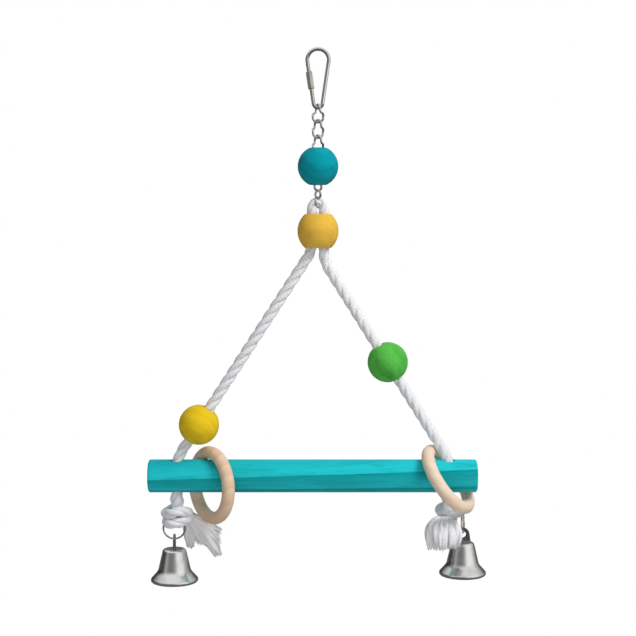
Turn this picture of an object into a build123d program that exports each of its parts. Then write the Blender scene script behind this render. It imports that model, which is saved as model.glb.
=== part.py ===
from build123d import *
import os
from math import asin, cos, radians, sin, sqrt

# Bird swing, in millimetres. +Z is up and -Y faces the viewer.
# The origin is the hang point, under the top arc of the quick link.

# Quick link: a pear of bent wire, with a screw sleeve over the gap in its left leg
quick_wire = 2.0
eye_radius = 4.8
throat_radius = 1.4
quick_reach = 29.4
gap_length = 4.6
sleeve_length = 9.3
sleeve_flats = 3.4
sleeve_edge = 0.3
sleeve_drop = 5.5
sleeve_engage = 1.6
thread_clearance = 0.08

# Chain of six twisted wire links, each crossing the next
chain_wire = 1.2
chain_pitch = 8.3
chain_bend = 2.8
chain_play = 0.15
end_twist = 35
link_turns = (-32, -17, -18, -56, -76, -96)

# Small ring that holds the rope's loop on the last link
rope_ring_outer = 6.5
rope_ring_wire = 1.0
rope_ring_turn = 65
ring_bite = 0.3

# Wooden beads: one on the chain, a barrel over both rope legs, one on each leg
bead_diameter = 22.0
bead_edge = 0.6
chain_bead_bore = 7.7
chain_bead_drop = 7.7
barrel_diameter = 22.3
barrel_height = 18.4
barrel_flat = 14.2
barrel_clearance = 0.3
bead_clearance = 0.35
left_bead_share = 0.835
right_bead_share = 0.51

# Cotton rope: one length, doubled over the small ring and knotted under the perch
rope_diameter = 6.0
leg_gap = 0.2
loop_height = 9.8
leg_height = 125.0
left_spread_drop = 1.1
right_spread_drop = 6.9
barrel_bend = 8.0
perch_bend = 6.0
perch_bend_rise = 0.4
link_pocket_clearance = 0.5

# Perch: a dowel with a rope hole near each end
perch_diameter = 18.0
perch_length = 180.0
perch_edge = 1.2
perch_hole = 7.6
hole_inset = 15.4
perch_offset = -2.9

# Wooden rings round the perch, one hanging square-on, one propped on the rope
toy_ring_outer = 43.0
toy_ring_section = 7.0
toy_ring_clearance = 0.3
left_ring_inset = 18.9
left_ring_turn = 125
right_ring_shift = -0.3
right_ring_forward = 1.2
right_ring_drop = 1.55
right_ring_normal = (0.765, -0.29, 0.575)

# Overhand knots and frayed rope ends
left_knot_bight = 6.0
right_knot_bight = 5.2
knot_strand = 5.8
knot_step = 4.4
left_knot_lean = 14
right_knot_lean = -14
left_knot_drop = 21.9
right_knot_drop = 22.0
right_knot_shift = 1.9
right_knot_back = 8.0
tassel_neck = 5.4
left_tassel_root = (4.4, 6.2, -2.4)
left_tassel_length = 22.0
left_tassel_flare = 12.0
left_tassel_heading = (0.74, 0.36, -0.57)
right_tassel_root = (-3.4, -5.0, -2.6)
right_tassel_length = 17.0
right_tassel_flare = 13.0
right_tassel_heading = (-0.34, -0.62, -0.71)

# Bells, each on a wire ring through its knot
bell_ring_outer = 13.0
bell_ring_wire = 1.0
knot_tunnel_clearance = 0.3
left_bell_ring_shift = -1.6
left_bell_ring_drop = 7.0
right_bell_ring_shift = 6.9
right_bell_ring_drop = 5.1
bell_crown = 12.5
bell_shoulder = 1.6
bell_waist = 18.2
bell_rim = 26.0
bell_height = 18.4
bell_lip_height = 6.1
bell_lip_bend = 6.0
bell_edge = 1.8
bell_edge_round = 1.2
bell_wall = 0.7
tab_thickness = 0.9
tab_width = 9.0
tab_eye = 3.6
tab_rise = 4.4
tab_top_radius = 3.8
tongue_width = 5.0
tongue_length = 4.6
tongue_eye = 2.2
slot_clearance = 0.1
hang_clearance = 0.15

# Clapper: a ball on a wire stem with an eye through the tongue
clapper_ball = 6.0
clapper_wire = 0.7
clapper_eye = 4.2
clapper_reach = 11.4

# One overrun serves every through cut
overrun = 2.0

os.makedirs("parts", exist_ok=True)


def upright(x, y, z, turn=0):
    """A plane standing on Z, facing the viewer and then turned about Z."""
    across = (cos(radians(turn)), sin(radians(turn)), 0)
    normal = (sin(radians(turn)), -cos(radians(turn)), 0)
    return Plane(origin=(x, y, z), x_dir=across, z_dir=normal)


def along(start, heading):
    """A plane whose local Y runs along a heading, for a profile turned about that heading."""
    run = Vector(*heading).normalized()
    side = Vector(0, 0, 1).cross(run)
    across = side.normalized() if side.length > 0 else Vector(1, 0, 0)
    return Plane(origin=start, x_dir=across, z_dir=across.cross(run))


def save(piece, name):
    piece.part.label = name
    export_step(piece.part, f"parts/{name}.step")


# Quick link: the wire runs from the lower gap face round the throat and the eye to the upper one
eye_bend = eye_radius + quick_wire / 2
throat_bend = throat_radius + quick_wire / 2
eye_centre = Vector(0, 0, -eye_radius)
throat_centre = Vector(0, 0, -quick_reach + throat_radius)
leg_lean = asin((eye_bend - throat_bend) / (eye_centre.Z - throat_centre.Z))
right_normal = Vector(cos(leg_lean), 0, -sin(leg_lean))
left_normal = Vector(-cos(leg_lean), 0, -sin(leg_lean))
leg_down = Vector(sin(leg_lean), 0, -cos(leg_lean))
leg_top = eye_centre + left_normal * eye_bend
gap_top = leg_top + leg_down * (sleeve_drop + sleeve_engage)
gap_bottom = gap_top + leg_down * gap_length

with BuildPart() as quick_link:
    with BuildLine() as quick_line:
        throat_left = throat_centre + left_normal * throat_bend
        throat_right = throat_centre + right_normal * throat_bend
        eye_right = eye_centre + right_normal * eye_bend
        Line(gap_bottom, throat_left)
        ThreePointArc(throat_left, throat_centre - Vector(0, 0, throat_bend), throat_right)
        Line(throat_right, eye_right)
        ThreePointArc(eye_right, eye_centre + Vector(0, 0, eye_bend), leg_top)
        Line(leg_top, gap_top)
    quick_route = quick_line.wires()[0]
    with BuildSketch(Plane(origin=quick_route @ 0, z_dir=quick_route % 0)):
        Circle(quick_wire / 2)
    sweep(path=quick_route)
save(quick_link, "quick_link")

# Sleeve: a hexagon nut, long enough to bridge the gap, that runs down the leg to open it
sleeve_top = leg_top + leg_down * sleeve_drop
sleeve_plane = Plane(origin=sleeve_top, x_dir=(0, 1, 0), z_dir=leg_down)
with BuildPart() as quick_link_sleeve:
    with BuildSketch(sleeve_plane):
        RegularPolygon(sleeve_flats / 2, side_count=6, major_radius=False)
    extrude(amount=sleeve_length)
    sleeve_ends = quick_link_sleeve.faces().sort_by(Axis((0, 0, 0), sleeve_plane.z_dir))
    chamfer((sleeve_ends[0].edges() + sleeve_ends[-1].edges()), sleeve_edge)
    with BuildSketch(sleeve_plane):
        Circle(quick_wire / 2 + thread_clearance)
    extrude(amount=sleeve_length, mode=Mode.SUBTRACT)
save(quick_link_sleeve, "quick_link_sleeve")

# Heights where each link bears on the one above it, from the quick link's throat down
chain_seats = [-quick_reach + chain_play / 2 - chain_pitch * n for n in range(len(link_turns) + 1)]


def twisted_link(middle, turn):
    """One wire link whose two end bends are twisted opposite ways about the chain's line."""
    straight = (chain_pitch + chain_play + chain_wire) / 2 - chain_bend
    with BuildPart() as link:
        for half in (0, 180):
            upper = Vector(1, 0, 0).rotate(Axis.Z, half + turn - end_twist)
            lower = Vector(1, 0, 0).rotate(Axis.Z, half + turn + end_twist)
            crown = Vector(0, 0, middle + straight + chain_bend)
            foot = Vector(0, 0, middle - straight - chain_bend)
            side_top = upper * chain_bend + Vector(0, 0, middle + straight)
            side_bottom = lower * chain_bend + Vector(0, 0, middle - straight)
            bow = Vector(1, 0, 0).rotate(Axis.Z, half + turn) * chain_bend + Vector(0, 0, middle)
            with BuildLine() as half_line:
                TangentArc(crown, side_top, tangent=upper)
                Spline(side_top, bow, side_bottom, tangents=[(0, 0, -1), (0, 0, -1)])
                TangentArc(side_bottom, foot, tangent=(0, 0, -1))
            half_route = half_line.wires()[0]
            with BuildSketch(Plane(origin=half_route @ 0, z_dir=half_route % 0)):
                Circle(chain_wire / 2)
            sweep(path=half_route)
    return link


for number, turn in enumerate(link_turns, start=1):
    link_middle = (chain_seats[number - 1] + chain_seats[number]) / 2
    save(twisted_link(link_middle, turn), f"chain_link_{number}")

# Small round ring through the last link, pulled tight on the rope's loop
rope_ring_bend = (rope_ring_outer - rope_ring_wire) / 2
rope_ring_top = chain_seats[-1] + chain_play / 2
rope_ring_z = rope_ring_top + rope_ring_wire / 2 - rope_ring_bend
rope_ring_plane = upright(0, 0, rope_ring_z, rope_ring_turn)
with BuildPart(rope_ring_plane) as rope_ring:
    Torus(rope_ring_bend, rope_ring_wire / 2)
save(rope_ring, "rope_ring")


def ball_bead(plane, bore):
    """A turned wooden ball, drilled through along the plane's local Y, with eased hole edges."""
    ball_radius = bead_diameter / 2
    half_length = sqrt(ball_radius**2 - (bore / 2) ** 2)
    with BuildPart() as bead:
        with BuildSketch(plane):
            with BuildLine():
                Line((bore / 2, half_length), (bore / 2, -half_length))
                ThreePointArc((bore / 2, -half_length), (ball_radius, 0), (bore / 2, half_length))
            make_face()
        revolve(axis=Axis(plane.origin, plane.y_dir))
        fillet(bead.edges().filter_by(GeomType.CIRCLE), bead_edge)
    return bead


chain_bead_z = chain_seats[3] - chain_bead_drop
turquoise_bead = ball_bead(upright(0, 0, chain_bead_z), chain_bead_bore)
save(turquoise_bead, "turquoise_bead")

# The rope's loop sits in the small ring, and its two legs go down side by side through the barrel
rope_radius = rope_diameter / 2
leg_x = rope_radius + leg_gap / 2
loop_underside = rope_ring_z - rope_ring_bend + rope_ring_wire / 2 - ring_bite
loop_top = loop_underside + rope_diameter
loop_centre_z = loop_underside + rope_radius - leg_x
barrel_top = loop_top - loop_height
barrel_z = barrel_top - barrel_height / 2
barrel_bottom = barrel_top - barrel_height
barrel_bore = leg_x + rope_radius + barrel_clearance

with BuildPart() as top_bead:
    with BuildSketch(Plane.XZ):
        with BuildLine():
            low = (barrel_flat / 2, barrel_bottom)
            high = (barrel_flat / 2, barrel_top)
            ThreePointArc(low, (barrel_diameter / 2, barrel_z), high)
            Polyline(high, (barrel_bore, barrel_top), (barrel_bore, barrel_bottom), low)
        make_face()
    revolve(axis=Axis.Z)
    fillet(top_bead.edges().filter_by(GeomType.CIRCLE), (barrel_flat / 2 - barrel_bore) / 3)
save(top_bead, "top_bead")

# Perch: a dowel with slightly rounded ends and an upright hole for each rope leg
perch_z = barrel_bottom - leg_height
hole_left = perch_offset - perch_length / 2 + hole_inset
hole_right = perch_offset + perch_length / 2 - hole_inset
perch_top = perch_z + perch_diameter / 2
with BuildPart() as perch:
    with BuildSketch(Plane.YZ.offset(perch_offset)):
        with Locations((0, perch_z)):
            Circle(perch_diameter / 2)
    extrude(amount=perch_length / 2, both=True)
    fillet(perch.edges().filter_by(GeomType.CIRCLE), perch_edge)
    with BuildSketch(Plane.XY.offset(perch_z)):
        with Locations((hole_left, 0), (hole_right, 0)):
            Circle(perch_hole / 2)
    extrude(amount=perch_diameter / 2 + overrun, both=True, mode=Mode.SUBTRACT)
save(perch, "perch")

# Rope: straight, taut runs, with a bend under the barrel, one at each hole and the loop on the ring
left_knot_z = perch_z - left_knot_drop
right_knot_z = perch_z - right_knot_drop
left_spread = (-leg_x, barrel_bottom - left_spread_drop)
right_spread = (leg_x, barrel_bottom - right_spread_drop)
left_entry = (hole_left, perch_top + perch_bend_rise)
right_entry = (hole_right, perch_top + perch_bend_rise)
left_end = (hole_left, left_knot_z + knot_strand / 2)
right_end = (hole_right, right_knot_z + knot_strand / 2)
left_route = [left_end, left_entry, left_spread, (-leg_x, loop_centre_z)]
right_route = [(leg_x, loop_centre_z), right_spread, right_entry, right_end]
with BuildPart() as rope:
    with BuildLine(Plane.XZ) as rope_line:
        FilletPolyline(*left_route, radius=[perch_bend, barrel_bend])
        ThreePointArc((-leg_x, loop_centre_z), (0, loop_centre_z + leg_x), (leg_x, loop_centre_z))
        FilletPolyline(*right_route, radius=[barrel_bend, perch_bend])
    rope_route = rope_line.wires()[0]
    with BuildSketch(Plane(origin=rope_route @ 0, z_dir=rope_route % 0)):
        Circle(rope_radius)
    sweep(path=rope_route)
    # The loop is nipped flat under the last link, where the small ring pulls it tight
    pocket_floor = chain_seats[-1] - chain_play / 2 - chain_wire - link_pocket_clearance
    with BuildSketch(Plane.XY.offset(pocket_floor)):
        Circle(chain_bend + chain_wire / 2 + link_pocket_clearance)
    extrude(amount=loop_top - pocket_floor + overrun, mode=Mode.SUBTRACT)
save(rope, "rope")
print(f"rope length {rope_route.length:.1f} mm, bend radii {barrel_bend}, {perch_bend}, {leg_x}")


def leg_plane(spread, entry, share):
    """A plane on a slanting rope leg, at a share of the way down it, with local Y up the leg."""
    top = Vector(spread[0], 0, spread[1])
    bottom = Vector(entry[0], 0, entry[1])
    return along(top + (bottom - top) * share, top - bottom)


rope_bore = rope_diameter + bead_clearance * 2
left_bead = ball_bead(leg_plane(left_spread, left_entry, left_bead_share), rope_bore)
save(left_bead, "left_bead")
right_bead = ball_bead(leg_plane(right_spread, right_entry, right_bead_share), rope_bore)
save(right_bead, "right_bead")

# Wooden rings: the left one hangs on top of the perch, the right one is propped across it
toy_ring_bend = (toy_ring_outer - toy_ring_section) / 2
left_ring_z = perch_top + toy_ring_clearance - toy_ring_bend + toy_ring_section / 2
left_ring_plane = upright(hole_left + left_ring_inset, 0, left_ring_z, left_ring_turn)
with BuildPart(left_ring_plane) as left_ring:
    Torus(toy_ring_bend, toy_ring_section / 2)
save(left_ring, "left_ring")

propped_normal = Vector(*right_ring_normal).normalized()
right_ring_centre = Vector(hole_right + right_ring_shift, -right_ring_forward, perch_z - right_ring_drop)
with BuildPart(Plane(origin=right_ring_centre, z_dir=propped_normal)) as right_ring:
    Torus(toy_ring_bend, toy_ring_section / 2)
save(right_ring, "right_ring")

# Each knot is two turns of rope side by side, with a tunnel for the bell's wire ring
bell_ring_bend = (bell_ring_outer - bell_ring_wire) / 2
left_knot_centre = Vector(hole_left, 0, left_knot_z)
right_knot_centre = Vector(hole_right + right_knot_shift, right_knot_back, right_knot_z)
left_bell_ring_centre = left_knot_centre + Vector(left_bell_ring_shift, 0, -left_bell_ring_drop)
right_bell_ring_centre = right_knot_centre + Vector(right_bell_ring_shift, 0, -right_bell_ring_drop)
left_bell_ring_plane = upright(*left_bell_ring_centre)
right_bell_ring_plane = upright(*right_bell_ring_centre, 90)


def overhand_knot(centre, bight, lean, ring_plane):
    """Two full turns of rope, filled to the middle and leaning off level."""
    across = (cos(radians(lean)), 0, sin(radians(lean)))
    plane = Plane(origin=centre, x_dir=across, z_dir=(0, -1, 0))
    with BuildPart() as knot:
        with BuildSketch(plane):
            with Locations((bight, knot_step / 2), (bight, -knot_step / 2)):
                Circle(knot_strand / 2)
            with Locations((bight / 2, 0)):
                Rectangle(bight, knot_step + knot_strand / 2)
        revolve(axis=Axis(plane.origin, plane.y_dir))
        with Locations(Location(ring_plane)):
            tunnel = bell_ring_wire / 2 + knot_tunnel_clearance
            Torus(bell_ring_bend, tunnel, mode=Mode.SUBTRACT)
    return knot


left_knot = overhand_knot(left_knot_centre, left_knot_bight, left_knot_lean, left_bell_ring_plane)
save(left_knot, "left_knot")
right_knot = overhand_knot(right_knot_centre, right_knot_bight, right_knot_lean, right_bell_ring_plane)
save(right_knot, "right_knot")


def tassel(start, heading, length, flare):
    """The rope's frayed end: a brush that opens from the rope to a rounded tip."""
    plane = along(start, heading)
    shoulder = length - flare / 2
    with BuildPart() as brush:
        with BuildSketch(plane):
            with BuildLine():
                Polyline((0, length), (0, 0), (tassel_neck / 2, 0))
                Line((tassel_neck / 2, 0), (flare / 2, shoulder))
                RadiusArc((flare / 2, shoulder), (0, length), -flare / 2)
            make_face()
        revolve(axis=Axis(plane.origin, plane.y_dir))
    return brush


left_tassel_start = left_knot_centre + Vector(*left_tassel_root)
left_tassel = tassel(left_tassel_start, left_tassel_heading, left_tassel_length, left_tassel_flare)
save(left_tassel, "left_tassel")
right_tassel_start = right_knot_centre + Vector(*right_tassel_root)
right_tassel = tassel(right_tassel_start, right_tassel_heading, right_tassel_length, right_tassel_flare)
save(right_tassel, "right_tassel")


def wire_ring(plane):
    with BuildPart(plane) as ring:
        Torus(bell_ring_bend, bell_ring_wire / 2)
    return ring


save(wire_ring(left_bell_ring_plane), "left_bell_ring")
save(wire_ring(right_bell_ring_plane), "right_bell_ring")

# Heights within a bell, from the top of its crown: the tab's eye above, the tongue's eye below
eye_to_wire = tab_eye / 2 - bell_ring_wire / 2 - hang_clearance
crown_to_wire = tab_rise + eye_to_wire
tongue_eye_drop = (bell_wall + tongue_length) / 2
clapper_bend = (clapper_eye - clapper_wire) / 2
clapper_top = tongue_eye_drop + tongue_eye / 2 - clapper_wire / 2 - hang_clearance
clapper_eye_drop = clapper_top + clapper_bend


def bell_shell(plane):
    """A stamped bell: a flat crown, a straight flank and a flared lip, slotted for the tab's tongue."""
    lip_top = bell_lip_height - bell_height
    with BuildPart() as shell:
        with BuildSketch(plane):
            with BuildLine():
                outer = FilletPolyline(
                    (0, 0),
                    (bell_crown / 2, 0),
                    (bell_waist / 2, lip_top),
                    (bell_rim / 2, bell_edge - bell_height),
                    (bell_rim / 2, -bell_height),
                    (bell_rim / 2 - bell_edge, -bell_height),
                    radius=[bell_shoulder, bell_lip_bend, bell_edge_round, bell_edge_round],
                )
                inner = FilletPolyline(
                    (0, -bell_wall),
                    (bell_crown / 2 - bell_wall, -bell_wall),
                    (bell_waist / 2 - bell_wall, lip_top - bell_wall / 2),
                    (bell_rim / 2 - bell_edge, -bell_height),
                    radius=[bell_shoulder - bell_wall, bell_lip_bend + bell_wall],
                )
                Line(outer @ 0, inner @ 0)
            make_face()
        revolve(axis=Axis(plane.origin, plane.y_dir))
        with BuildSketch(Plane(origin=plane.origin, x_dir=plane.x_dir, z_dir=plane.y_dir)):
            Rectangle(tongue_width + slot_clearance * 2, tab_thickness + slot_clearance * 2)
        extrude(amount=bell_wall + overrun, both=True, mode=Mode.SUBTRACT)
    return shell


def bell_tab(plane):
    """A flat strap with an eye, its tongue let down through the crown with a second eye in it."""
    with BuildPart() as tab:
        with BuildSketch(plane):
            with BuildLine():
                top = CenterArc((0, tab_rise), tab_top_radius, 0, 180)
                Polyline(top @ 1, (-tab_width / 2, 0), (tab_width / 2, 0), top @ 0)
            make_face()
            with Locations((0, -tongue_length / 2)):
                Rectangle(tongue_width, tongue_length)
            with Locations((0, tab_rise)):
                Circle(tab_eye / 2, mode=Mode.SUBTRACT)
            with Locations((0, -tongue_eye_drop)):
                Circle(tongue_eye / 2, mode=Mode.SUBTRACT)
        extrude(amount=tab_thickness / 2, both=True)
    return tab


def clapper(crown, eye_plane):
    """A ball on a wire stem that ends in an eye through the tongue."""
    stem_top = clapper_eye_drop + clapper_bend
    stem_length = clapper_reach - stem_top
    with BuildPart() as striker:
        with Locations(Location(eye_plane)):
            Torus(clapper_bend, clapper_wire / 2)
        with Locations(crown - Vector(0, 0, stem_top + stem_length / 2)):
            Cylinder(clapper_wire / 2, stem_length)
        with Locations(crown - Vector(0, 0, clapper_reach)):
            Sphere(clapper_ball / 2)
    return striker


for side, ring_centre, tab_turn in (
    ("left", left_bell_ring_centre, 90),
    ("right", right_bell_ring_centre, 0),
):
    crown = ring_centre - Vector(0, 0, bell_ring_bend + crown_to_wire)
    bell_plane = upright(*crown, tab_turn)
    save(bell_shell(bell_plane), f"{side}_bell")
    save(bell_tab(bell_plane), f"{side}_bell_tab")
    eye_plane = upright(*(crown - Vector(0, 0, clapper_eye_drop)), tab_turn + 90)
    save(clapper(crown, eye_plane), f"{side}_clapper")
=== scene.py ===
import math
import random

import bpy
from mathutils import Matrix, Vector


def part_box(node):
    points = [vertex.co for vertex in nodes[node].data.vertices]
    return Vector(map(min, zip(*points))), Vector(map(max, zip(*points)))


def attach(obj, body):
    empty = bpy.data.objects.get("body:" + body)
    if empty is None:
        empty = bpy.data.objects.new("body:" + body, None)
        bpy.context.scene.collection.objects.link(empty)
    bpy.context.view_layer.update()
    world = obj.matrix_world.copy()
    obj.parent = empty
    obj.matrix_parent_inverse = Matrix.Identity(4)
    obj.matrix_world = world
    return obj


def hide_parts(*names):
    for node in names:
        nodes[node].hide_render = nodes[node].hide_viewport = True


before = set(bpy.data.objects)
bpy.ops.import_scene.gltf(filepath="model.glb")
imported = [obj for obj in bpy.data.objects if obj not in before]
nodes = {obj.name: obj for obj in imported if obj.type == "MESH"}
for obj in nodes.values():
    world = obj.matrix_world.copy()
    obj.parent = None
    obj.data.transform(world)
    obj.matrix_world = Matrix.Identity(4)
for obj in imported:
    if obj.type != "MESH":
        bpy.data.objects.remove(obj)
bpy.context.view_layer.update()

# Quick link and chain: drawn steel wire, bent to shape and plated with bright nickel. Tumbling leaves the
# plate with a soft mottle and fine scratches, and it dulls a little where the links rub. The small rings on
# the rope and in the knots are of the same wire.


def tint(code):
    """Linear colour for a six-figure colour code."""
    parts = [int(code[i : i + 2], 16) / 255 for i in (0, 2, 4)]
    return (*[p / 12.92 if p <= 0.04045 else ((p + 0.055) / 1.055) ** 2.4 for p in parts], 1)


def add_node(tree, kind, settings=None, **inputs):
    """One node in a tree. Its inputs are values or other sockets, by name or by number, such as i0."""
    made = tree.nodes.new(kind)
    for key, value in (settings or {}).items():
        setattr(made, key, value)
    for key, value in inputs.items():
        if key[0] == "i" and key[1:].isdigit():
            socket = made.inputs[int(key[1:])]
        else:
            socket = made.inputs[key.replace("_", " ")]
        if isinstance(value, bpy.types.NodeSocket):
            tree.links.new(value, socket)
        else:
            socket.default_value = value
    return made


def make_group(name, inputs, outputs):
    """An empty node group with named sockets, and its input and output nodes."""
    group = bpy.data.node_groups.new(name, "ShaderNodeTree")
    for socket, kind in inputs:
        group.interface.new_socket(socket, in_out="INPUT", socket_type=kind)
    for socket, kind in outputs:
        group.interface.new_socket(socket, in_out="OUTPUT", socket_type=kind)
    return group, group.nodes.new("NodeGroupInput"), group.nodes.new("NodeGroupOutput")


VECTOR, COLOUR, NUMBER = "NodeSocketVector", "NodeSocketColor", "NodeSocketFloat"

plate_group, plate_in, plate_out = make_group(
    "plate_wear",
    [("Vector", VECTOR), ("Bright", COLOUR), ("Dull", COLOUR), ("Smooth", NUMBER), ("Worn", NUMBER)],
    [("Colour", COLOUR), ("Roughness", NUMBER), ("Height", NUMBER)],
)
mottle = add_node(plate_group, "ShaderNodeTexNoise", Vector=plate_in.outputs["Vector"], Scale=140, Detail=3)
scratch_map = add_node(
    plate_group, "ShaderNodeMapping", Vector=plate_in.outputs["Vector"], Scale=(900, 900, 5200)
)
scratches = add_node(plate_group, "ShaderNodeTexNoise", Vector=scratch_map.outputs[0], Scale=1, Detail=2)
dull_mask = add_node(
    plate_group, "ShaderNodeMapRange", Value=mottle.outputs["Fac"], From_Min=0.45, From_Max=0.72
)
plate_colour = add_node(
    plate_group,
    "ShaderNodeMix",
    {"data_type": "RGBA"},
    i0=dull_mask.outputs[0],
    i6=plate_in.outputs["Bright"],
    i7=plate_in.outputs["Dull"],
)
plate_rough = add_node(
    plate_group,
    "ShaderNodeMapRange",
    Value=mottle.outputs["Fac"],
    To_Min=plate_in.outputs["Smooth"],
    To_Max=plate_in.outputs["Worn"],
)
plate_group.links.new(plate_colour.outputs[2], plate_out.inputs["Colour"])
plate_group.links.new(plate_rough.outputs[0], plate_out.inputs["Roughness"])
plate_group.links.new(scratches.outputs["Fac"], plate_out.inputs["Height"])

plate_relief = 0.0001


def plate_material(name, bright, dull, smooth, worn, bump):
    """Nickel plate over steel: the shader with the wear group in front of it."""
    made = bpy.data.materials.new(name)
    made.use_nodes = True
    tree = made.node_tree
    shader = tree.nodes["Principled BSDF"]
    shader.inputs["Metallic"].default_value = 1
    place = add_node(tree, "ShaderNodeTexCoord")
    wear = add_node(
        tree,
        "ShaderNodeGroup",
        {"node_tree": plate_group},
        Vector=place.outputs["Object"],
        Bright=tint(bright),
        Dull=tint(dull),
        Smooth=smooth,
        Worn=worn,
    )
    relief = add_node(
        tree, "ShaderNodeBump", Height=wear.outputs["Height"], Strength=bump, Distance=plate_relief
    )
    tree.links.new(wear.outputs["Colour"], shader.inputs["Base Color"])
    tree.links.new(wear.outputs["Roughness"], shader.inputs["Roughness"])
    tree.links.new(relief.outputs[0], shader.inputs["Normal"])
    return made


def finish_node(node, made):
    """Gives a CAD node its finish."""
    nodes[node].material_slots[0].material = made


wire_plate = plate_material("nickel_wire", bright="E4E1DC", dull="CCC9C4", smooth=0.03, worn=0.1, bump=0.02)
for wire_node in ("quick_link", "rope_ring", "left_bell_ring", "right_bell_ring"):
    finish_node(wire_node, wire_plate)
for link_number in range(1, 7):
    finish_node(f"chain_link_{link_number}", wire_plate)

# Sleeve: a hexagon nut turned from bar and run over the quick link's gap. It is plated a little greyer than
# the wire, with tool marks along it.

sleeve_plate = plate_material(
    "sleeve_plate", bright="BFBDB2", dull="A3A196", smooth=0.16, worn=0.3, bump=0.08
)
finish_node("quick_link_sleeve", sleeve_plate)

# Turquoise bead: a turned hardwood ball, stained right through the pores and left satin. The grain runs
# across the bore, with the end grain drinking more of the stain.

grain_group, grain_in, grain_out = make_group(
    "stained_grain",
    [
        ("Vector", VECTOR),
        ("Light", COLOUR),
        ("Middle", COLOUR),
        ("Dark", COLOUR),
        ("Ring Scale", NUMBER),
        ("Waviness", NUMBER),
        ("Pores", NUMBER),
        ("Blotch", NUMBER),
    ],
    [("Colour", COLOUR), ("Roughness", NUMBER), ("Height", NUMBER)],
)
ring_map = add_node(
    grain_group, "ShaderNodeMapping", Vector=grain_in.outputs["Vector"], Scale=(0.07, 1, 1)
)
growth = add_node(
    grain_group,
    "ShaderNodeTexWave",
    {"wave_type": "RINGS", "rings_direction": "X", "wave_profile": "SAW"},
    Vector=ring_map.outputs[0],
    Scale=grain_in.outputs["Ring Scale"],
    Distortion=grain_in.outputs["Waviness"],
    Detail=2,
    Detail_Scale=1.2,
)
fibre_map = add_node(
    grain_group, "ShaderNodeMapping", Vector=grain_in.outputs["Vector"], Scale=(70, 1500, 1500)
)
fibre = add_node(grain_group, "ShaderNodeTexNoise", Vector=fibre_map.outputs[0], Scale=1, Detail=3)
blotch_map = add_node(
    grain_group, "ShaderNodeMapping", Vector=grain_in.outputs["Vector"], Scale=(26, 150, 150)
)
blotch = add_node(grain_group, "ShaderNodeTexNoise", Vector=blotch_map.outputs[0], Scale=1, Detail=2)
ring_mask = add_node(
    grain_group, "ShaderNodeMapRange", Value=growth.outputs["Fac"], From_Min=0.25, From_Max=0.95
)
ringed = add_node(
    grain_group,
    "ShaderNodeMix",
    {"data_type": "RGBA"},
    i0=ring_mask.outputs[0],
    i6=grain_in.outputs["Light"],
    i7=grain_in.outputs["Middle"],
)
pore_mask = add_node(
    grain_group,
    "ShaderNodeMapRange",
    Value=fibre.outputs["Fac"],
    From_Min=0.52,
    From_Max=0.8,
    To_Max=grain_in.outputs["Pores"],
)
pored = add_node(
    grain_group,
    "ShaderNodeMix",
    {"data_type": "RGBA"},
    i0=pore_mask.outputs[0],
    i6=ringed.outputs[2],
    i7=grain_in.outputs["Dark"],
)
blotch_mask = add_node(
    grain_group,
    "ShaderNodeMapRange",
    Value=blotch.outputs["Fac"],
    From_Min=0.5,
    From_Max=0.75,
    To_Max=grain_in.outputs["Blotch"],
)
stained = add_node(
    grain_group,
    "ShaderNodeMix",
    {"data_type": "RGBA"},
    i0=blotch_mask.outputs[0],
    i6=pored.outputs[2],
    i7=grain_in.outputs["Dark"],
)
wood_rough = add_node(
    grain_group, "ShaderNodeMapRange", Value=fibre.outputs["Fac"], To_Min=0.5, To_Max=0.7
)
grain_group.links.new(stained.outputs[2], grain_out.inputs["Colour"])
grain_group.links.new(wood_rough.outputs[0], grain_out.inputs["Roughness"])
grain_group.links.new(fibre.outputs["Fac"], grain_out.inputs["Height"])

grain_relief = 0.0002
satin_gloss = 0.15


def wood_finish(node, name, colours, ring_scale, waviness, pores, blotches, turn, shift, bump):
    """Gives a CAD node turned wood, with its grain centred near the node and turned by degrees."""
    low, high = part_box(node)
    made = bpy.data.materials.new(name)
    made.use_nodes = True
    tree = made.node_tree
    shader = tree.nodes["Principled BSDF"]
    place = add_node(tree, "ShaderNodeTexCoord")
    local = add_node(
        tree,
        "ShaderNodeMapping",
        {"vector_type": "TEXTURE"},
        Vector=place.outputs["Object"],
        Location=(low + high) / 2 + Vector(shift),
        Rotation=[math.radians(t) for t in turn],
    )
    light, middle, dark = (tint(code) for code in colours)
    grain = add_node(
        tree,
        "ShaderNodeGroup",
        {"node_tree": grain_group},
        Vector=local.outputs[0],
        Light=light,
        Middle=middle,
        Dark=dark,
        Ring_Scale=ring_scale,
        Waviness=waviness,
        Pores=pores,
        Blotch=blotches,
    )
    relief = add_node(
        tree, "ShaderNodeBump", Height=grain.outputs["Height"], Strength=bump, Distance=grain_relief
    )
    shader.inputs["Specular IOR Level"].default_value = satin_gloss
    tree.links.new(grain.outputs["Colour"], shader.inputs["Base Color"])
    tree.links.new(grain.outputs["Roughness"], shader.inputs["Roughness"])
    tree.links.new(relief.outputs[0], shader.inputs["Normal"])
    finish_node(node, made)


wood_finish(
    "turquoise_bead",
    "turquoise_stain",
    colours=("00A0AE", "0097A7", "006E7E"),
    ring_scale=70,
    waviness=3.0,
    pores=0.35,
    blotches=0.25,
    turn=(0, 6, 10),
    shift=(0, 0.004, -0.012),
    bump=0.12,
)

# Barrel bead: the same hardwood, turned with flat ends and stained a warm yellow. Both rope legs pass through
# its bore, and it is wedged where they spread.

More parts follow.
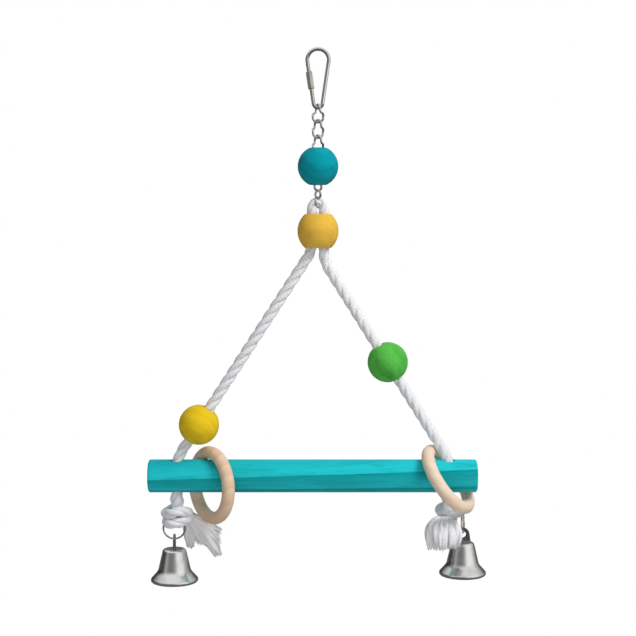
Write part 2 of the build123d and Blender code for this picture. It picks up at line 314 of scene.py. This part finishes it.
wood_finish(
    "top_bead",
    "barrel_stain",
    colours=("F0C24C", "EBBB46", "CA9630"),
    ring_scale=60,
    waviness=3.0,
    pores=0.3,
    blotches=0.2,
    turn=(0, 4, 8),
    shift=(0, 0.006, 0.01),
    bump=0.1,
)

# Rope: three cotton strands laid right-handed, one length doubled over the small ring, led through the
# barrel and down through the perch's holes. The legs are drawn straight by the perch's weight.

rope_thickness = 0.006
rope_lay = 0.0215
rope_step = 0.0006
rope_start_turn = 0.4
route_resolution = 24
strand_count = 3
strand_sides = 18
strand_centre_share = 0.45
strand_out_share = 0.55
strand_across_share = 0.63
yarns_in_strand = 5
yarn_ridge_share = 0.008
yarn_lay_share = 0.55
rope_route = [
    (-0.0775, 0, -0.25005),
    (-0.0775, 0, -0.2346),
    (-0.0775, 0, -0.22165),
    (-0.0715, 0, -0.21243),
    (-0.0579, 0, -0.19146),
    (-0.0227, 0, -0.13734),
    (-0.00866, 0, -0.1157),
    (-0.0031, 0, -0.10715),
    (-0.0031, 0, -0.0956),
    (-0.0031, 0, -0.0871),
    (-0.0031, 0, -0.08085),
    (0.0031, 0, -0.08085),
    (0.0031, 0, -0.0871),
    (0.0031, 0, -0.0986),
    (0.0031, 0, -0.11295),
    (0.00844, 0, -0.1214),
    (0.0225, 0, -0.1437),
    (0.0524, 0, -0.19105),
    (0.0658, 0, -0.21235),
    (0.0717, 0, -0.22165),
    (0.0717, 0, -0.2346),
    (0.0717, 0, -0.25015),
]


def smooth_line(name, controls, resolution):
    """Points along a smooth spline drawn on the control points."""
    curve = bpy.data.curves.new(name, "CURVE")
    curve.dimensions = "3D"
    spline = curve.splines.new("NURBS")
    spline.points.add(len(controls) - 1)
    for point, place in zip(spline.points, controls):
        point.co = (*place, 1)
    spline.order_u = 3
    spline.use_endpoint_u = True
    spline.resolution_u = resolution
    guide = bpy.data.objects.new(name, curve)
    bpy.context.scene.collection.objects.link(guide)
    line = bpy.data.meshes.new_from_object(guide)
    points = [v.co.copy() for v in line.vertices]
    bpy.data.objects.remove(guide)
    bpy.data.curves.remove(curve)
    bpy.data.meshes.remove(line)
    return points


def even_points(points, step):
    """The same line, with its points one step apart."""
    out = [points[0].copy()]
    left = step
    for a, b in zip(points, points[1:]):
        run = (b - a).length
        done = 0
        while run - done >= left:
            done += left
            out.append(a.lerp(b, done / run))
            left = step
        left -= run - done
    return out


def carried_frames(points):
    """A side and an up direction at each point, carried along the line without twist."""
    frames = []
    side = None
    for i in range(len(points)):
        ahead = points[min(i + 1, len(points) - 1)]
        behind = points[max(i - 1, 0)]
        run = (ahead - behind).normalized()
        if side is None:
            side = run.orthogonal()
        side = (side - run * side.dot(run)).normalized()
        frames.append((side.copy(), run.cross(side)))
    return frames


def mesh_piece(name, verts, faces, uvs, made):
    """A new smooth mesh object with its UV map and finish, its place in its mesh."""
    mesh = bpy.data.meshes.new(name)
    mesh.from_pydata(verts, [], faces)
    mesh.materials.append(made)
    layer = mesh.uv_layers.new(name="along")
    for loop in mesh.loops:
        layer.data[loop.index].uv = uvs[loop.vertex_index]
    for face in mesh.polygons:
        face.use_smooth = True
    piece = bpy.data.objects.new(name, mesh)
    bpy.context.scene.collection.objects.link(piece)
    return piece


def laid_rope(name, points, thickness_at, lay, start_turn, made):
    """Strands with yarn ridges, laid right-handed round a line of even points."""
    frames = carried_frames(points)
    step = (points[1] - points[0]).length
    verts, faces, uvs = [], [], []
    for strand in range(strand_count):
        first = len(verts)
        for i, point in enumerate(points):
            side, up = frames[i]
            radius = thickness_at(i / (len(points) - 1)) / 2
            phase = start_turn + math.tau * (strand / strand_count + i * step / lay)
            yarn_phase = math.tau * i * step / (lay * yarn_lay_share)
            out = side * math.cos(phase) + up * math.sin(phase)
            across = side * -math.sin(phase) + up * math.cos(phase)
            centre = point + out * radius * strand_centre_share
            for n in range(strand_sides):
                angle = math.tau * n / strand_sides
                ridge = 1 + yarn_ridge_share * math.cos(yarns_in_strand * angle - yarn_phase)
                verts.append(
                    centre
                    + out * math.cos(angle) * radius * strand_out_share * ridge
                    + across * math.sin(angle) * radius * strand_across_share * ridge
                )
                uvs.append((abs(2 * n / strand_sides - 1), i * step / rope_thickness))
        for i in range(len(points) - 1):
            for n in range(strand_sides):
                a = first + i * strand_sides + n
                b = first + i * strand_sides + (n + 1) % strand_sides
                faces.append((a, b, b + strand_sides, a + strand_sides))
        last = first + (len(points) - 1) * strand_sides
        faces.append(tuple(range(first + strand_sides - 1, first - 1, -1)))
        faces.append(tuple(range(last, last + strand_sides)))
    return mesh_piece(name, verts, faces, uvs, made)


yarn_relief = 0.0002
cotton_depth = 0.0012
cotton_gloss = 0.2


def cotton_material(name, light, shade, yarn_scale, bump, softness):
    """White cotton: yarn lines along the piece's own UV map, with painted shade in their grooves and a soft
    nap over them.
    """
    made = bpy.data.materials.new(name)
    made.use_nodes = True
    tree = made.node_tree
    shader = tree.nodes["Principled BSDF"]
    place = add_node(tree, "ShaderNodeTexCoord")
    slant = add_node(
        tree, "ShaderNodeMapping", Vector=place.outputs["UV"], Rotation=(0, 0, 0.55), Scale=(1.2, 1, 1)
    )
    yarn = add_node(
        tree,
        "ShaderNodeTexWave",
        {"wave_type": "BANDS", "bands_direction": "X"},
        Vector=slant.outputs[0],
        Scale=yarn_scale,
        Distortion=1.6,
        Detail=2,
        Detail_Scale=3,
    )
    nap = add_node(tree, "ShaderNodeTexNoise", Vector=place.outputs["Object"], Scale=700, Detail=2)
    # Painted shade: the shade colour darkens the grooves between the yarn lines, heavier in patches of this
    # noise.
    shade_patches = add_node(tree, "ShaderNodeTexNoise", Vector=place.outputs["Object"], Scale=90, Detail=2)
    groove_shade_mask = add_node(
        tree, "ShaderNodeMath", {"operation": "MULTIPLY"}, i0=yarn.outputs["Fac"], i1=shade_patches.outputs["Fac"]
    )
    cloth = add_node(
        tree,
        "ShaderNodeMix",
        {"data_type": "RGBA"},
        i0=groove_shade_mask.outputs[0],
        i6=tint(shade),
        i7=tint(light),
    )
    height = add_node(
        tree, "ShaderNodeMath", {"operation": "ADD"}, i0=yarn.outputs["Fac"], i1=nap.outputs["Fac"]
    )
    rough = add_node(tree, "ShaderNodeMapRange", Value=nap.outputs["Fac"], To_Min=0.8, To_Max=1)
    relief = add_node(
        tree, "ShaderNodeBump", Height=height.outputs[0], Strength=bump, Distance=yarn_relief
    )
    tree.links.new(cloth.outputs[2], shader.inputs["Base Color"])
    tree.links.new(rough.outputs[0], shader.inputs["Roughness"])
    tree.links.new(relief.outputs[0], shader.inputs["Normal"])
    shader.inputs["Subsurface Weight"].default_value = softness
    shader.inputs["Subsurface Radius"].default_value = (1, 1, 1)
    shader.inputs["Subsurface Scale"].default_value = cotton_depth
    shader.inputs["Specular IOR Level"].default_value = cotton_gloss
    return made


# Its second colour is painted shade for the grooves between the rope's yarns.
cotton = cotton_material("laid_cotton", "F8F7FA", "F0EFF3", yarn_scale=1.6, bump=0.04, softness=0.15)
rope_line = even_points(smooth_line("rope_route", rope_route, route_resolution), rope_step)
rope_length = (len(rope_line) - 1) * rope_step
loop_share = max(range(len(rope_line)), key=lambda i: rope_line[i].z) / (len(rope_line) - 1)
nip_reach = 0.007
nip_share = 0.26
slack_from_end = 0.0055
slack_reach = 0.005
slack_share = 0.3


def eased(t):
    """A soft step from 0 to 1."""
    return t * t * (3 - 2 * t)


def rope_girth(share):
    """The rope is nipped by the small ring at the top of its loop, and slack between the perch and a knot."""
    from_loop = abs(share - loop_share) * rope_length
    nip = eased(max(0, 1 - from_loop / nip_reach))
    from_end = min(share, 1 - share) * rope_length
    slack = eased(max(0, 1 - abs(from_end - slack_from_end) / slack_reach))
    return rope_thickness * (1 - nip_share * nip + slack_share * slack)


rope = laid_rope("rope_laid", rope_line, rope_girth, rope_lay, rope_start_turn, cotton)
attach(rope, "swing")
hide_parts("rope")

# Beads on the legs: turned hardwood balls, stained yellow on the left leg and green on the right. They slide
# on the rope, and friction holds them where they are put.

wood_finish(
    "left_bead",
    "yellow_stain",
    colours=("F4D028", "EEC618", "C69C08"),
    ring_scale=60,
    waviness=3.0,
    pores=0.35,
    blotches=0.25,
    turn=(20, 30, 0),
    shift=(0.004, 0, 0.011),
    bump=0.12,
)
wood_finish(
    "right_bead",
    "green_stain",
    colours=("60C651", "5AC24D", "18781F"),
    ring_scale=60,
    waviness=3.0,
    pores=0.4,
    blotches=0.45,
    turn=(10, 50, 10),
    shift=(0, 0.005, 0.011),
    bump=0.12,
)

# Perch: a hardwood dowel stained turquoise. Its growth rings run nearly along it, so they break out as
# long lens shapes, with short dark pores between them.

wood_finish(
    "perch",
    "perch_stain",
    colours=("24D0DA", "06A2A8", "02666E"),
    ring_scale=48,
    waviness=1.2,
    pores=0.5,
    blotches=0.3,
    turn=(0, -0.75, -0.95),
    shift=(0.01, 0.004, -0.013),
    bump=0.15,
)

# Wooden rings: plain beech, turned and sanded round, with no stain or varnish. Each hangs loose round the
# perch.

# The right ring is the same beech given lighter colours than the left: painted light, brightening its front,
# which faces away from the key lamp.
for ring_side, ring_turn, ring_tone in (
    ("left", (0, 0, 35), ("F2D3B8", "EAC7A6", "D2A680")),
    ("right", (10, 40, 60), ("F8E2CC", "F4DABE", "E0BC98")),
):
    wood_finish(
        f"{ring_side}_ring",
        f"{ring_side}_beech",
        colours=ring_tone,
        ring_scale=55,
        waviness=2.0,
        pores=0.25,
        blotches=0.15,
        turn=ring_turn,
        shift=(0, 0, 0.02),
        bump=0.08,
    )

# Knots: an overhand knot drawn up under each hole, with the bell's wire ring caught in it. The rope goes
# down the middle, turns up behind and wraps round itself before its end comes out.

knot_step = 0.0005
knot_thickness = 0.0058
knot_lay_share = 0.9
knot_start_turn = 1.0
left_knot_route = [
    (-0.0775, 0.0000, -0.2458),
    (-0.0776, 0.0002, -0.2501),
    (-0.0779, 0.0005, -0.2558),
    (-0.0772, 0.0034, -0.2588),
    (-0.0741, 0.0067, -0.2548),
    (-0.0792, 0.0069, -0.2496),
    (-0.0847, 0.0016, -0.2524),
    (-0.0815, -0.0053, -0.2514),
    (-0.0752, -0.0060, -0.2492),
    (-0.0703, -0.0009, -0.2514),
    (-0.0741, 0.0064, -0.2531),
    (-0.0829, 0.0041, -0.2554),
    (-0.0829, -0.0041, -0.2568),
    (-0.0760, -0.0060, -0.256),
    (-0.0710, -0.0009, -0.2544),
    (-0.0714, 0.0056, -0.2547),
    (-0.0700, 0.0084, -0.2564),
]
right_knot_route = [
    (0.0717, 0.0000, -0.2449),
    (0.0718, 0.0012, -0.2494),
    (0.0730, 0.0070, -0.2554),
    (0.0741, 0.0106, -0.2584),
    (0.0763, 0.0136, -0.2556),
    (0.0717, 0.0142, -0.2502),
    (0.0669, 0.0096, -0.2518),
    (0.0703, 0.0030, -0.2526),
    (0.0761, 0.0030, -0.2511),
    (0.0799, 0.0074, -0.2526),
    (0.0763, 0.0134, -0.2546),
    (0.0689, 0.0122, -0.2566),
    (0.0681, 0.0062, -0.2576),
    (0.0707, 0.0034, -0.2556),
    (0.0690, 0.0000, -0.2571),
]
for knot_side, knot_route in (("left", left_knot_route), ("right", right_knot_route)):
    knot_line = even_points(smooth_line(f"{knot_side}_knot_route", knot_route, route_resolution), knot_step)
    knot = laid_rope(
        f"{knot_side}_knot_laid",
        knot_line,
        lambda share: knot_thickness,
        rope_lay * knot_lay_share,
        knot_start_turn,
        cotton,
    )
    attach(knot, "swing")
    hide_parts(f"{knot_side}_knot")

# Frayed ends: below the knot the strands are unlaid and combed out into loose yarn. The left end splits into
# three locks, one hanging, one beside it and one carried off behind the ring. The right end falls forward as
# a mop.

# Its second colour is painted shade for the grooves between the yarns.
fringe = cotton_material("combed_yarn", "FCFBFD", "F7F6F9", yarn_scale=0.6, bump=0.03, softness=0.0)
soft_strand_radii = (0.0010, 0.0015)
soft_strand_share = 0.2
soft_strand_sides = 14
loose_yarn_radii = (0.00018, 0.00034)
loose_yarn_share = 0.6
loose_yarn_sides = 6
tip_run_shares = (-0.13, 0.04)
yarn_wave = 0.0005
yarn_wave_turn = 7
tip_taper_share = 0.75
tip_taper_power = 6
yarn_uv_step = 0.5


def yarn_tuft(name, seed, locks, radii, count_share, sides, made):
    """One mesh of many yarns. Each runs from its lock's root over the belly to the tip, spread about them."""
    draw = random.Random(seed)
    verts, faces, uvs = [], [], []
    for lock in locks:
        bends = lock["bends"]
        for _ in range(round(lock["count"] * count_share)):
            angle = draw.random() * math.tau
            reach = math.sqrt(draw.random())
            spot = Vector((math.cos(angle) * reach, math.sin(angle) * reach, draw.uniform(-0.5, 0.5)))
            root, belly, tip = (
                Vector(lock[place]) + Vector([s * r for s, r in zip(spot, lock[f"{place}_spread"])])
                for place in ("root", "belly", "tip")
            )
            tip += (tip - belly) * draw.uniform(*tip_run_shares)
            wave = Vector([draw.uniform(-1, 1) for _ in range(3)]) * yarn_wave
            points = []
            for i in range(bends + 1):
                t = i / bends
                point = root * (1 - t) ** 2 + belly * 2 * t * (1 - t) + tip * t * t
                points.append(point + wave * math.sin(t * yarn_wave_turn + angle) * t)
            frames = carried_frames(points)
            radius = draw.uniform(*radii)
            shade = draw.random()
            first = len(verts)
            for i, point in enumerate(points):
                side, up = frames[i]
                width = radius * (1 - tip_taper_share * (i / bends) ** tip_taper_power)
                for n in range(sides):
                    turn = math.tau * n / sides
                    verts.append(point + side * math.cos(turn) * width + up * math.sin(turn) * width)
                    uvs.append((shade + n / sides, i * yarn_uv_step))
            for i in range(bends):
                for n in range(sides):
                    a = first + i * sides + n
                    b = first + i * sides + (n + 1) % sides
                    faces.append((a, b, b + sides, a + sides))
            last = first + bends * sides
            faces.append(tuple(range(first + sides - 1, first - 1, -1)))
            faces.append(tuple(range(last, last + sides)))
    return mesh_piece(name, verts, faces, uvs, made)


left_locks = [
    dict(
        root=(-0.0728, 0.0068, -0.2556),
        root_spread=(0.0020, 0.0020, 0.0012),
        belly=(-0.0725, 0.0110, -0.2630),
        belly_spread=(0.0028, 0.0024, 0.0015),
        tip=(-0.0716, 0.0134, -0.2738),
        tip_spread=(0.0018, 0.0018, 0.0012),
        count=100,
        bends=8,
    ),
    dict(
        root=(-0.0720, 0.0074, -0.2556),
        root_spread=(0.0018, 0.0022, 0.0020),
        belly=(-0.0676, 0.0118, -0.2640),
        belly_spread=(0.0026, 0.0026, 0.0040),
        tip=(-0.0646, 0.0146, -0.2712),
        tip_spread=(0.0032, 0.0030, 0.0040),
        count=130,
        bends=8,
    ),
    dict(
        root=(-0.0712, 0.0080, -0.2550),
        root_spread=(0.0018, 0.0022, 0.0022),
        belly=(-0.0640, 0.0112, -0.2612),
        belly_spread=(0.0022, 0.0028, 0.0064),
        tip=(-0.0555, 0.0134, -0.2714),
        tip_spread=(0.0022, 0.0040, 0.0170),
        count=330,
        bends=9,
    ),
]
right_locks = [
    dict(
        root=(0.0692, 0.0004, -0.2556),
        root_spread=(0.0026, 0.0022, 0.0015),
        belly=(0.0686, -0.0090, -0.2536),
        belly_spread=(0.0116, 0.0060, 0.0060),
        tip=(0.0682, -0.0066, -0.2690),
        tip_spread=(0.0084, 0.0060, 0.0040),
        count=420,
        bends=10,
    ),
]
for tuft_side, tuft_seed, tuft_locks in (("left", 5, left_locks), ("right", 9, right_locks)):
    soft_strands = yarn_tuft(
        f"{tuft_side}_soft_strands",
        tuft_seed,
        tuft_locks,
        soft_strand_radii,
        soft_strand_share,
        soft_strand_sides,
        fringe,
    )
    loose_yarn = yarn_tuft(
        f"{tuft_side}_loose_yarn",
        tuft_seed,
        tuft_locks,
        loose_yarn_radii,
        loose_yarn_share,
        loose_yarn_sides,
        fringe,
    )
    for tuft in (soft_strands, loose_yarn):
        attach(tuft, "swing")
        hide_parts(f"{tuft_side}_tassel")

# Bells: stamped steel with bright nickel plate, a flat crown slotted for a strap, and a rolled lip. The
# clapper is plated with the bell, and the strap is a duller nickel.

bell_plate = plate_material("bell_nickel", bright="EEEFEC", dull="D9DBD8", smooth=0.2, worn=0.32, bump=0.02)
strap_plate = plate_material(
    "strap_nickel", bright="B0AFAD", dull="8C8B89", smooth=0.2, worn=0.32, bump=0.05
)
for bell_side in ("left", "right"):
    finish_node(f"{bell_side}_bell", bell_plate)
    finish_node(f"{bell_side}_bell_tab", strap_plate)
    finish_node(f"{bell_side}_clapper", bell_plate)

# Studio: a white room with a pale floor well below the bells. A large lamp at the upper right lights the
# swing, with weak ones in front and behind, and soft boxes round the room show only in reflections.

camera_aim = Vector((0, 0, -0.1442))
camera_distance = 0.76
camera_rise = math.radians(3.6)
camera_lens = 78.9
camera_data = bpy.data.cameras.new("camera")
camera_data.lens = camera_lens
camera = bpy.data.objects.new("camera", camera_data)
bpy.context.scene.collection.objects.link(camera)
camera_way = Vector((0, -math.cos(camera_rise), math.sin(camera_rise)))
camera.location = camera_aim + camera_way * camera_distance
camera.rotation_euler = (camera_aim - camera.location).to_track_quat("-Z", "Y").to_euler()
bpy.context.scene.camera = camera

for lamp_name, lamp_place, lamp_size, lamp_power in (
    ("key", (0.62, -0.48, 0.70), 0.6, 9.8),
    ("front", (0.05, -1.0, -0.3), 0.8, 3.0),
    ("back", (-0.1, 1.0, 0.1), 0.8, 4.0),
):
    lamp_data = bpy.data.lights.new(lamp_name, "AREA")
    lamp_data.size = lamp_size
    lamp_data.energy = lamp_power
    lamp = bpy.data.objects.new(lamp_name, lamp_data)
    bpy.context.scene.collection.objects.link(lamp)
    lamp.location = lamp_place
    lamp.visible_glossy = False
    lamp.rotation_euler = (camera_aim - lamp.location).to_track_quat("-Z", "Y").to_euler()

room_level = 0.28
ceiling_level = 0.8
world = bpy.data.worlds.new("white_room")
bpy.context.scene.world = world
world.use_nodes = True
room = world.node_tree
room.nodes.clear()
ray = add_node(room, "ShaderNodeLightPath")
way = add_node(room, "ShaderNodeTexCoord")
way_parts = add_node(room, "ShaderNodeSeparateXYZ", Vector=way.outputs["Generated"])
toward = add_node(room, "ShaderNodeMath", {"operation": "MULTIPLY"}, i0=way_parts.outputs["Y"], i1=-1.0)
bearing = add_node(
    room, "ShaderNodeMath", {"operation": "ARCTAN2"}, i0=way_parts.outputs["X"], i1=toward.outputs[0]
)
round_share = add_node(
    room, "ShaderNodeMapRange", Value=bearing.outputs[0], From_Min=-math.pi, From_Max=math.pi
)
boxes = add_node(room, "ShaderNodeValToRGB", Fac=round_share.outputs[0])
box_stops = (
    (0.00, 0.10), (0.06, 0.03), (0.12, 0.02), (0.22, 0.03), (0.28, 0.08), (0.31, 0.30), (0.33, 0.55),
    (0.355, 0.26), (0.42, 0.16), (0.48, 0.18), (0.53, 0.35), (0.57, 0.85), (0.62, 1.00), (0.70, 0.95),
    (0.76, 0.60), (0.82, 0.35), (0.88, 0.12), (0.94, 0.06), (1.00, 0.10),
)
ramp = boxes.color_ramp.elements
while len(ramp) < len(box_stops):
    ramp.new(0.5)
for stop, (place, level) in zip(ramp, box_stops):
    stop.position = place
    stop.color = (level, level, level, 1)
ceiling = add_node(room, "ShaderNodeMapRange", Value=way_parts.outputs["Z"], From_Min=0.3, From_Max=0.75)
lit = add_node(
    room,
    "ShaderNodeMix",
    {"data_type": "RGBA"},
    i0=ceiling.outputs[0],
    i6=boxes.outputs[0],
    i7=(ceiling_level, ceiling_level, ceiling_level, 1),
)
mirror_room = add_node(room, "ShaderNodeBackground", Color=lit.outputs[2], Strength=1)
soft_room = add_node(room, "ShaderNodeBackground", Color=(1, 1, 1, 1), Strength=room_level)
white_room = add_node(room, "ShaderNodeBackground", Color=(1, 1, 1, 1), Strength=1)
indoors = add_node(
    room,
    "ShaderNodeMixShader",
    i0=ray.outputs["Is Glossy Ray"],
    i1=soft_room.outputs[0],
    i2=mirror_room.outputs[0],
)
seen = add_node(
    room,
    "ShaderNodeMixShader",
    i0=ray.outputs["Is Camera Ray"],
    i1=indoors.outputs[0],
    i2=white_room.outputs[0],
)
add_node(room, "ShaderNodeOutputWorld", Surface=seen.outputs[0])

floor_width = 12
floor_height = -0.45
floor_grey = 0.5
floor_mirror_level = 0.12
bpy.ops.object.select_all(action="DESELECT")
bpy.ops.mesh.primitive_plane_add(size=floor_width, location=(0, 0, floor_height))
floor = bpy.context.active_object
floor.name = "floor"
bpy.ops.object.transform_apply(location=True)
floor_paint = bpy.data.materials.new("pale_floor")
floor_paint.use_nodes = True
floor_tree = floor_paint.node_tree
floor_shader = floor_tree.nodes["Principled BSDF"]
floor_shader.inputs["Base Color"].default_value = (floor_grey, floor_grey, floor_grey, 1)
floor_shader.inputs["Roughness"].default_value = 0.9
floor_ray = add_node(floor_tree, "ShaderNodeLightPath")
floor_seen = add_node(
    floor_tree,
    "ShaderNodeMath",
    {"operation": "MAXIMUM"},
    i0=floor_ray.outputs["Is Camera Ray"],
    i1=floor_ray.outputs["Is Glossy Ray"],
)
floor_level = add_node(
    floor_tree, "ShaderNodeMapRange", Value=floor_ray.outputs["Is Camera Ray"], To_Min=floor_mirror_level
)
floor_white = add_node(
    floor_tree, "ShaderNodeEmission", Color=(1, 1, 1, 1), Strength=floor_level.outputs[0]
)
floor_mix = add_node(
    floor_tree,
    "ShaderNodeMixShader",
    i0=floor_seen.outputs[0],
    i1=floor_shader.outputs[0],
    i2=floor_white.outputs[0],
)
floor_under = add_node(floor_tree, "ShaderNodeNewGeometry")
floor_clear = add_node(floor_tree, "ShaderNodeBsdfTransparent")
floor_whole = add_node(
    floor_tree,
    "ShaderNodeMixShader",
    i0=floor_under.outputs["Backfacing"],
    i1=floor_mix.outputs[0],
    i2=floor_clear.outputs[0],
)
floor_tree.links.new(floor_whole.outputs[0], floor_tree.nodes["Material Output"].inputs["Surface"])
floor.data.materials.append(floor_paint)

bpy.context.scene.view_settings.view_transform = "Standard"
